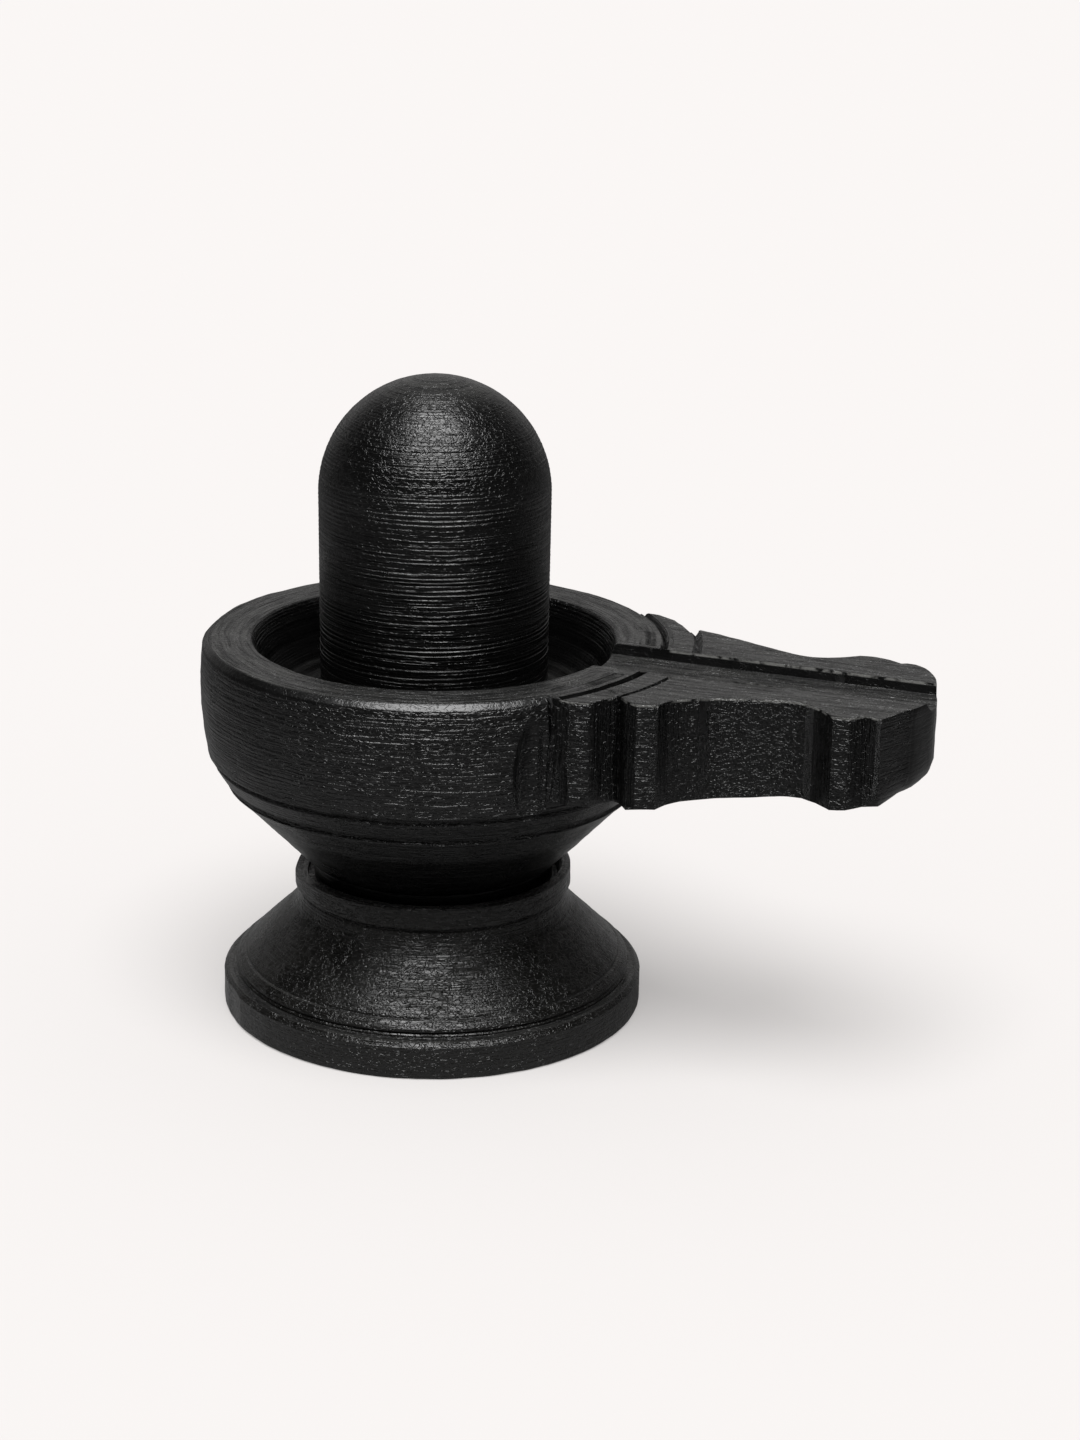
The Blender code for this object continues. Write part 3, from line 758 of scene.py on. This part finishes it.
def make_spout():
    """The long arm: petal, waist and head, thinner toward the tip, whose lower edge is rounded."""
    outline = PETAL_RIGHT + smooth_run(WAIST_RIGHT, 3) + HEAD_RIGHT + smooth_run(NOSE, 3) + HEAD_LEFT
    outline += smooth_run(WAIST_LEFT, 3) + PETAL_LEFT + inner_arc(20.1)
    piece = block("spout", outline, SPOUT_FOOT_Z, RIM_Z)
    edit(piece)
    rounding = 5.4
    for height in (0.5, 1.4, 2.9, rounding):
        bpy.ops.mesh.select_all(action="SELECT")
        bpy.ops.mesh.bisect(plane_co=(0, 0, (SPOUT_FOOT_Z + height) * MM), plane_no=(0, 0, 1))
    select_where(piece, lambda x, y, z: stands_on(PETAL_FLARE, x, y) and z < SPOUT_FOOT_Z + 0.1)
    bpy.ops.transform.translate(value=(-2.0 * MM, 0.1 * MM, 0))
    # the lower edge is tucked in round the head and swept up by 4.5 mm between the bowl and the tip
    sweep, sweep_start, sweep_length = 4.5, 50, 61
    head = Vector((102.5, 0.0)) * MM
    head_blend = 4.3
    shape = bmesh.from_edit_mesh(piece.data)
    for vertex in shape.verts:
        rise = vertex.co.z / MM - SPOUT_FOOT_Z
        lift = max(0.0, (vertex.co.x / MM - sweep_start) / sweep_length) * sweep
        if rise < rounding and vertex.co.x > head.x:
            tuck = 1 - math.sqrt(1 - (1 - max(0.0, rise) / rounding) ** 2)
            inward = (head - vertex.co.xy).normalized()
            vertex.co.xy += inward * tuck * rounding * MM * min(1.0, (vertex.co.x - head.x) / (head_blend * MM))
        vertex.co.z += lift * (1 - rise / (RIM_Z - SPOUT_FOOT_Z)) * MM
    bmesh.update_edit_mesh(piece.data)
    done()
    soften(piece, lambda x, y, z: z < 66.5 and x > 51 and abs(y) > 10, 0.8, 3)
    soften(piece, lambda x, y, z: z > 66.5 and (abs(y) > 12 or x > 103), 0.45, level=False)
    soften(piece, lambda x, y, z: z > 84 and (abs(y) > 12 or x > 103), 0.42, level=True)
    return piece


def make_channel():
    """The drain's cutter. Its far wall is steep, and its near side is a shallow ramp."""
    bpy.ops.mesh.primitive_cube_add(size=MM, location=(0, 0, 0))
    piece = bpy.context.object
    bpy.ops.object.mode_set(mode="EDIT")
    half_height = 2.2
    shape = bmesh.from_edit_mesh(piece.data)
    for vertex in shape.verts:
        outer = vertex.co.x > 0
        upper = vertex.co.z > 0
        far = vertex.co.y > 0
        if far:
            y = 8.4 if outer else 10.0
            y = y - (0.0 if upper else 1.2)
        else:
            y = -8.0 if outer else -9.6
            y = y + (-1.0 if upper else 4.2)
        z = RIM_Z + (half_height if upper else -half_height)
        vertex.co = Vector((115.0 if outer else 32.0, y, z)) * MM
    bmesh.update_edit_mesh(piece.data)
    done()
    return piece


def make_groove(radius, start, end, width, depth, centre_x):
    """A V-groove's cutter, spun round a centre on the X axis, so that its depth follows the curve."""
    half = width / 2
    section = [(radius, RIM_Z - depth), (radius + half, RIM_Z), (radius + half, RIM_Z + 1),
               (radius - half, RIM_Z + 1), (radius - half, RIM_Z)]
    a = math.radians(start)
    piece = drawn_line("groove", [(r * math.cos(a) + centre_x, r * math.sin(a), z) for r, z in section])
    bpy.ops.mesh.select_all(action="SELECT")
    bpy.ops.mesh.edge_face_add()
    bpy.ops.mesh.spin(steps=18, angle=math.radians(start - end), center=(centre_x * MM, 0, 0), axis=(0, 0, 1))
    bpy.ops.mesh.select_all(action="SELECT")
    bpy.ops.mesh.normals_make_consistent(inside=False)
    done()
    return piece


def make_notch(x, y, away, toward):
    """An upright V-cut whose valley stands at (x, y) and whose sides leave in two directions."""
    side = 5
    outline = [(x, y)]
    for direction in (away, toward):
        a = math.radians(direction)
        outline.append((x + side * math.cos(a), y + side * math.sin(a)))
    return block("notch", outline, WALL_FOOT_Z + 2.0, RIM_Z + 2)


def make_scoop():
    """The gouge that hollows the bowl's wall as it runs into the first notch, deepest low down."""
    direction = math.radians(-44.5)
    reach, height = 54.4, 64.0
    bpy.ops.mesh.primitive_uv_sphere_add(segments=48, ring_count=32, radius=MM, location=(0, 0, 0))
    piece = bpy.context.object
    bpy.ops.object.mode_set(mode="EDIT")
    bpy.ops.transform.resize(value=(6.0, 6.5, 21.0))
    shape = bmesh.from_edit_mesh(piece.data)
    turn = Matrix.Rotation(direction, 3, "Z")
    bmesh.ops.rotate(shape, verts=shape.verts, cent=(0, 0, 0), matrix=turn)
    bmesh.update_edit_mesh(piece.data)
    x, y = reach * math.cos(direction), reach * math.sin(direction)
    bpy.ops.transform.translate(value=(x * MM, y * MM, height * MM))
    done()
    return piece


def make_basin():
    """Bowl, shoulder and spout made one stone, then cut by the channel, grooves, notches and gouge."""
    piece = make_bowl()
    cut(piece, make_shoulder(), "UNION")
    cut(piece, make_spout(), "UNION")
    cut(piece, make_channel())
    for groove in GROOVES:
        cut(piece, make_groove(*groove))
    for notch in NOTCHES:
        cut(piece, make_notch(*notch))
    cut(piece, make_scoop())
    split_long(piece, 1.9, lambda x, y, z: math.hypot(x, y) > 26)
    uneven(piece, 9, 0.35)
    uneven(piece, 2.5, 0.14)
    return piece


# The pedestal

def break_collar(piece):
    """The collar is broken down low at one place on its left, in a wide shallow curve."""
    direction = math.radians(202)
    reach, curve, deep = 29.15, 55.0, 2.6
    bpy.ops.mesh.primitive_cylinder_add(vertices=96, radius=curve * MM, depth=9.0 * MM, location=(0, 0, 0))
    tool = bpy.context.object
    bpy.ops.object.mode_set(mode="EDIT")
    turn = Matrix.Rotation(direction, 4, "Z") @ Matrix.Rotation(math.pi / 2, 4, "Y")
    middle = Vector((reach * math.cos(direction), reach * math.sin(direction), COLLAR_TOP_Z - deep + curve)) * MM
    shape = bmesh.from_edit_mesh(tool.data)
    bmesh.ops.transform(shape, matrix=turn, verts=shape.verts)
    bmesh.ops.translate(shape, vec=middle, verts=shape.verts)
    bmesh.update_edit_mesh(tool.data)
    done()
    cut(piece, tool)


def grind_flat(piece):
    """A flat was ground on the foot's left, and its upright edge still shows."""
    direction = math.radians(-138)
    half_angle = math.radians(5.5)
    half_width, beyond = 9, 4
    reach = FOOT_R * math.cos(half_angle)
    across = Vector((-math.sin(direction), math.cos(direction))) * half_width
    outward = Vector((math.cos(direction), math.sin(direction)))
    near, far = outward * reach, outward * (reach + beyond)
    outline = [tuple(corner) for corner in (near - across, far - across, far + across, near + across)]
    cut(piece, block("flat", outline, -1.0, 7.6))


def chip_below_collar(piece):
    """A small rough pit in the groove under the collar."""
    direction = math.radians(-101)
    reach, height, size = 30.6, 24.9, 0.75
    bpy.ops.mesh.primitive_ico_sphere_add(subdivisions=2, radius=size * MM, location=(0, 0, 0))
    ball = bpy.context.object
    bpy.ops.object.mode_set(mode="EDIT")
    bpy.ops.transform.resize(value=(1.0 + 0.5 * noise.noise(Vector((0, 0.3, 0.1))), 1.0, 0.8))
    x, y = reach * math.cos(direction), reach * math.sin(direction)
    bpy.ops.transform.translate(value=(x * MM, y * MM, height * MM))
    done()
    cut(piece, ball)


def make_pedestal():
    """The foot: a plain band, a stepped bead, a dished skirt and the collar that holds the bowl."""
    socket = [(0.0, 24.02, 0), (25.3, 24.02, 0.2), (25.3, 29.02, 0.2), (27.8, 29.02, 0.3)]
    collar = [
        (28.0, 31.6, 0.1), (28.7, COLLAR_TOP_Z, 0.1), (30.1, COLLAR_TOP_Z, 0.1), (30.55, 31.9, 0.1),
        (30.6, 27.7, 0.1), (29.2, 27.1, 0.2), (29.7, 26.2, 0.3),
    ]
    skirt = [(30.3, 23.2, 2.2), (41.5, 12.3, 0.15)]
    steps = [
        (41.6, 11.8, 0.15), (42.3, 11.6, 0.15), (43.7, 10.3, 0.3), (43.8, 9.7, 0.15), (43.2, 9.3, 0.15),
        (43.9, 8.9, 0.15), (43.7, 8.4, 0.15),
    ]
    band = [(45.7, 8.3, 0.2), (FOOT_R, 7.3, 0.2), (FOOT_R, 0.6, 0.2), (46.0, 0.0, 0.1), (0.0, 0.0, 0)]

    def depth(run, radius, height):
        if height < 0.4 or radius < 29 or 24 < height:
            return 0.0
        return 0.035 * chatter(run, 1.7, 6.4)

    def unseen(start, end):
        return max(start.x, end.x) < 25.4 or max(start.y, end.y) < 0.05

    points = rounded(socket + collar + skirt + steps + band, 0.6, unseen)
    piece = turned("pedestal_stone", ringed(points, depth), 224)
    break_collar(piece)
    grind_flat(piece)
    chip_below_collar(piece)
    split_long(piece, 2.2, lambda x, y, z: math.hypot(x, y) > 26 and z > 0.1)
    uneven(piece, 7, 0.22)
    uneven(piece, 2.2, 0.12)
    return piece


# Put together

lingam_look = black_stone("Oiled black stone, turned shaft", "shaft")
basin_look = black_stone("Oiled black stone, turned and carved basin", "basin")
pedestal_look = black_stone("Oiled black stone, turned pedestal", "foot")

for maker, node, slot, look in (
    (make_lingam, "lingam", "lingam_stone", lingam_look),
    (make_basin, "yoni_basin", "basin_stone", basin_look),
    (make_pedestal, "pedestal", "pedestal_stone", pedestal_look),
):
    piece = maker()
    piece.data.materials.clear()
    piece.data.materials.append(look)
    active(piece)
    bpy.ops.object.shade_smooth_by_angle(angle=math.radians(38))
    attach(piece, "root")
    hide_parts(node)


# Floor, light and camera. Directions are degrees counterclockwise from +X, seen from above.

BOUNCE_FADES_M = (0.08, 0.40)
CONTACT_FADES_M = (0.045, 0.12)
WALL_BEHIND = 112
CAMERA_PLACE_M = (0.22683, -0.56711, 0.26784)
CAMERA_TURN = (19.62, 71.624, 0.99)

bpy.ops.mesh.primitive_plane_add(size=14, location=(0, 0, 0))
floor = bpy.context.object
floor.name = "floor"
# matt white paper: an even pale ground, with no sheen
floor_look, floor_tree, floor_shader = new_material("Matt white paper sweep", 0.9, 1.3)
floor_shader.inputs["Base Color"].default_value = linear("#969493")
floor_shader.inputs["Emission Color"].default_value = linear("#fffcfb")
floor_shader.inputs["Emission Strength"].default_value = 0.33
floor_shader.inputs["Specular IOR Level"].default_value = 0.0
# The photographer kept the white sweep out of the black stone's reflections, so only the camera sees it white.
seen = add(floor_tree, "ShaderNodeLightPath")
spot = add(floor_tree, "ShaderNodeTexCoord")
away = add(floor_tree, "ShaderNodeVectorMath", {"operation": "LENGTH"}, {0: spot.outputs["Object"]})
fading = add(floor_tree, "ShaderNodeMapRange",
             {"From Min": BOUNCE_FADES_M[0], "From Max": BOUNCE_FADES_M[1], "To Min": 0.16, "To Max": 0.045},
             {"Value": away.outputs["Value"]})
close = add(floor_tree, "ShaderNodeMapRange",
            {"From Min": CONTACT_FADES_M[0], "From Max": CONTACT_FADES_M[1], "To Min": 0.06, "To Max": 0.0},
            {"Value": away.outputs["Value"]})
bounce = add(floor_tree, "ShaderNodeMath", {"operation": "ADD"}, {0: fading.outputs[0], 1: close.outputs[0]})
flagged = add(floor_tree, "ShaderNodeBsdfDiffuse", links={"Color": bounce.outputs[0]})
sweep = add(floor_tree, "ShaderNodeMixShader",
            links={0: seen.outputs["Is Camera Ray"], 1: flagged.outputs[0], 2: floor_shader.outputs[0]})
floor_tree.links.new(sweep.outputs[0], floor_tree.nodes["Material Output"].inputs["Surface"])
floor.data.materials.append(floor_look)

# a pale wall behind, near darkness elsewhere, and an even fill that only softens the shadow on the sweep
world = bpy.data.worlds.new("studio")
bpy.context.scene.world = world
world.use_nodes = True
sky = world.node_tree
ray = add(sky, "ShaderNodeLightPath")
toward = add(sky, "ShaderNodeTexCoord")
wall_way = (math.cos(math.radians(WALL_BEHIND)), math.sin(math.radians(WALL_BEHIND)), 0.0)
behind = add(sky, "ShaderNodeVectorMath", {"operation": "DOT_PRODUCT", 1: wall_way},
             {0: toward.outputs["Generated"]})
wall = add(sky, "ShaderNodeMapRange", {"From Min": 0.55, "From Max": 0.94, "To Min": 0.03, "To Max": 0.36},
           {"Value": behind.outputs["Value"]})
fill = add(sky, "ShaderNodeMapRange", {"To Min": 0.0, "To Max": 0.80}, {"Value": ray.outputs["Is Diffuse Ray"]})
shine = add(sky, "ShaderNodeMath", {"operation": "MULTIPLY"}, {0: wall.outputs[0], 1: ray.outputs["Is Glossy Ray"]})
room = add(sky, "ShaderNodeMath", {"operation": "ADD"}, {0: shine.outputs[0], 1: fill.outputs[0]})
backdrop = add(sky, "ShaderNodeMath", {"operation": "MULTIPLY_ADD", 1: 0.95},
               {0: ray.outputs["Is Camera Ray"], 2: room.outputs[0]})
sky.nodes["Background"].inputs["Color"].default_value = linear("#fffdfc")
sky.links.new(backdrop.outputs[0], sky.nodes["Background"].inputs["Strength"])


def soft_sun(name, azimuth, elevation, spread, strength):
    """A wide soft lamp far away, so that the sweep is lit evenly to its edges."""
    a = math.radians(azimuth)
    e = math.radians(elevation)
    way = Vector((math.cos(e) * math.cos(a), math.cos(e) * math.sin(a), math.sin(e)))
    lamp = bpy.data.lights.new(name, "SUN")
    lamp.angle = math.radians(spread)
    lamp.energy = strength
    item = bpy.data.objects.new(name, lamp)
    bpy.context.scene.collection.objects.link(item)
    item.location = way
    item.rotation_euler = way.to_track_quat("Z", "Y").to_euler()


# the lamp stands over the camera's side, and the camera at -68 degrees
soft_sun("overhead_softbox", -70, 71, 44, 4.2)

camera_data = bpy.data.cameras.new("camera")
camera_data.sensor_fit = "VERTICAL"
camera_data.sensor_height = 36.0
camera_data.lens = 73.394
camera = bpy.data.objects.new("camera", camera_data)
bpy.context.scene.collection.objects.link(camera)
azimuth, tilt, roll = [math.radians(angle) for angle in CAMERA_TURN]
turn = Matrix.Rotation(azimuth, 4, "Z") @ Matrix.Rotation(tilt, 4, "X") @ Matrix.Rotation(roll, 4, "Z")
camera.matrix_world = Matrix.Translation(CAMERA_PLACE_M) @ turn
bpy.context.scene.camera = camera
bpy.context.scene.view_settings.view_transform = "Standard"
